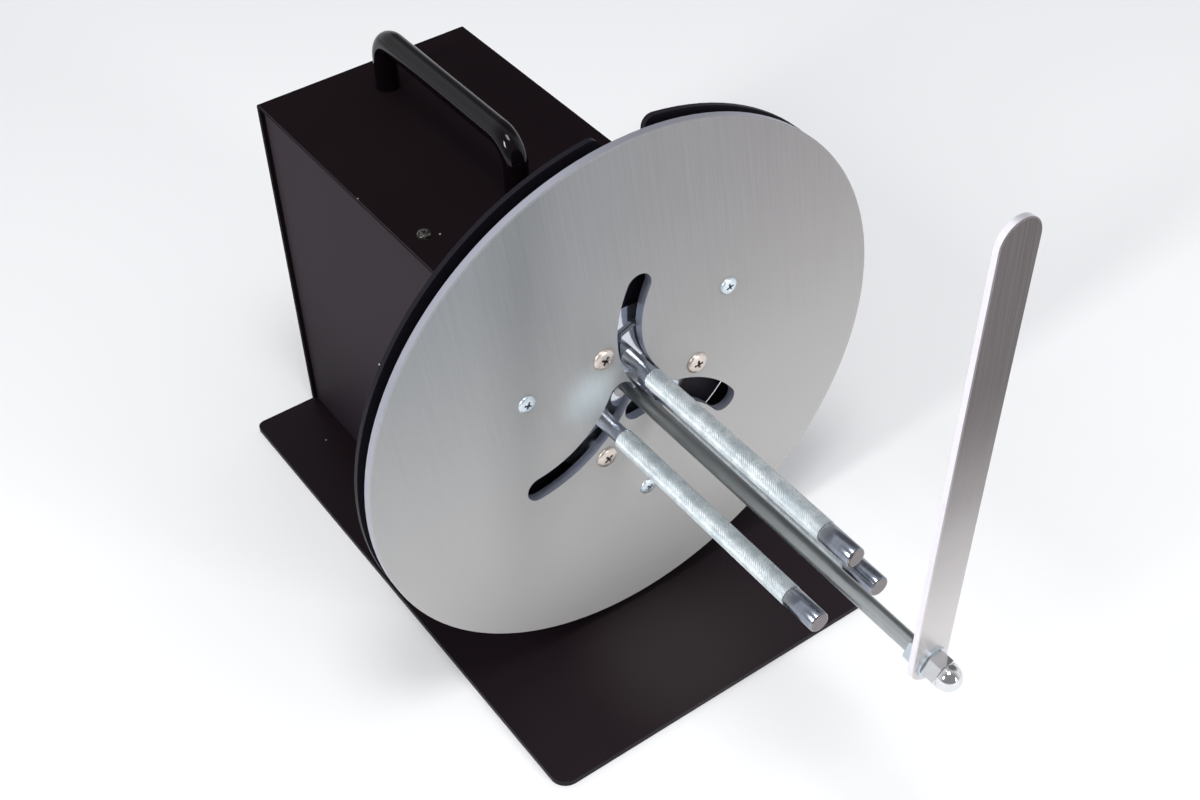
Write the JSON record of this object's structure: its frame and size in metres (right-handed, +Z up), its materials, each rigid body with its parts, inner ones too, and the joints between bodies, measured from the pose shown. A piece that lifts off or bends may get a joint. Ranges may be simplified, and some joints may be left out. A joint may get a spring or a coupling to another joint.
{
  "type": "manual label rewinder",
  "caption": "Bench rewinder for label rolls: a hand crank turns a round flange disc with three knurled rods that swing out together to grip a core, on a boxed stand with a carry handle.",
  "frame": {"origin": "centre of the base plate's underside, on the bench", "axes": "+Z up, -Y towards the crank, +X to the right as seen from the crank side; the winding axis runs along Y"},
  "size_m": [0.3, 0.4797, 0.3863],
  "materials": {
    "black_paint": "black powder coat with a soft sheen",
    "black_gloss": "glossy black",
    "black_disc": "satin black",
    "brushed_aluminium": "finely brushed",
    "plated_steel": "bright plated, mirror-like",
    "knurled_zinc": "bright zinc, knurled, with plain polished tips",
    "zinc_steel": "bright zinc",
    "nickel_screw": "nickel plated",
    "brushed_bar": "satin bar",
    "machined_steel": "turned",
    "bearing_steel": "ground",
    "black_screw": "blackened"
  },
  "bodies": {
    "stand": {"base_plate": "black_paint", "base_screws": "zinc_steel", "base_nuts": "zinc_steel", "housing_cover": "black_paint", "side_panel_left": "black_paint", "side_panel_right": "black_paint", "cover_screws": "black_screw", "cover_nuts": "zinc_steel", "carry_handle": "black_gloss", "handle_screws": "zinc_steel", "bearing_housing": "machined_steel", "bearing_housing_screws": "zinc_steel", "bearing_outer_rings": "bearing_steel"},
    "spindle_and_crank": {"spindle": "machined_steel", "bearing_inner_rings": "bearing_steel", "bearing_balls": "bearing_steel", "bearing_spacer": "machined_steel", "retaining_ring": "black_screw", "hub": "plated_steel", "hub_set_screws": "black_screw", "hub_spacers": "zinc_steel", "hub_screws": "nickel_screw", "spring_ring": "bearing_steel", "retaining_collar": "machined_steel", "collar_set_screws": "black_screw", "front_disc": "brushed_aluminium", "pivot_studs": "zinc_steel", "pivot_washers": "zinc_steel", "pivot_screws": "zinc_steel", "crank_rod": "zinc_steel", "crank_lock_nut": "zinc_steel", "crank_arm": "brushed_bar", "crank_washer": "zinc_steel", "cap_nut": "nickel_screw"},
    "cam_disc": {"cam_disc": "black_disc"},
    "arm_a": {"swing_arm_a": "plated_steel", "core_rod_a": "knurled_zinc", "rod_screw_a": "black_screw", "drive_pin_a": "bearing_steel"},
    "arm_b": {"swing_arm_b": "plated_steel", "core_rod_b": "knurled_zinc", "rod_screw_b": "black_screw", "drive_pin_b": "bearing_steel"},
    "arm_c": {"swing_arm_c": "plated_steel", "core_rod_c": "knurled_zinc", "rod_screw_c": "black_screw", "drive_pin_c": "bearing_steel"}
  },
  "joints": [
    {"name": "spindle_turn", "type": "hinge", "parent": "stand", "child": "spindle_and_crank", "pos_m": [0, 0, 0.1595], "axis": [0, 1, 0], "continuous": true},
    {"name": "core_adjust", "type": "hinge", "parent": "spindle_and_crank", "child": "cam_disc", "pos_m": [0, 0, 0.1595], "axis": [0, 1, 0], "range_deg": [-14.5, 45]},
    {"name": "arm_a_swing", "type": "hinge", "parent": "spindle_and_crank", "child": "arm_a", "pos_m": [0.05658, -0.08305, 0.19986], "axis": [0, 1, 0], "range_deg": [-14.5, 45]},
    {"name": "arm_b_swing", "type": "hinge", "parent": "spindle_and_crank", "child": "arm_b", "pos_m": [-0.06324, -0.08305, 0.18832], "axis": [0, 1, 0], "range_deg": [-14.5, 45]},
    {"name": "arm_c_swing", "type": "hinge", "parent": "spindle_and_crank", "child": "arm_c", "pos_m": [0.00666, -0.08305, 0.09032], "axis": [0, 1, 0], "range_deg": [-14.5, 45]}
  ],
  "couplings": [
    {"joint": "arm_a_swing", "follows": "core_adjust", "ratio": 1},
    {"joint": "arm_b_swing", "follows": "core_adjust", "ratio": 1},
    {"joint": "arm_c_swing", "follows": "core_adjust", "ratio": 1}
  ]
}
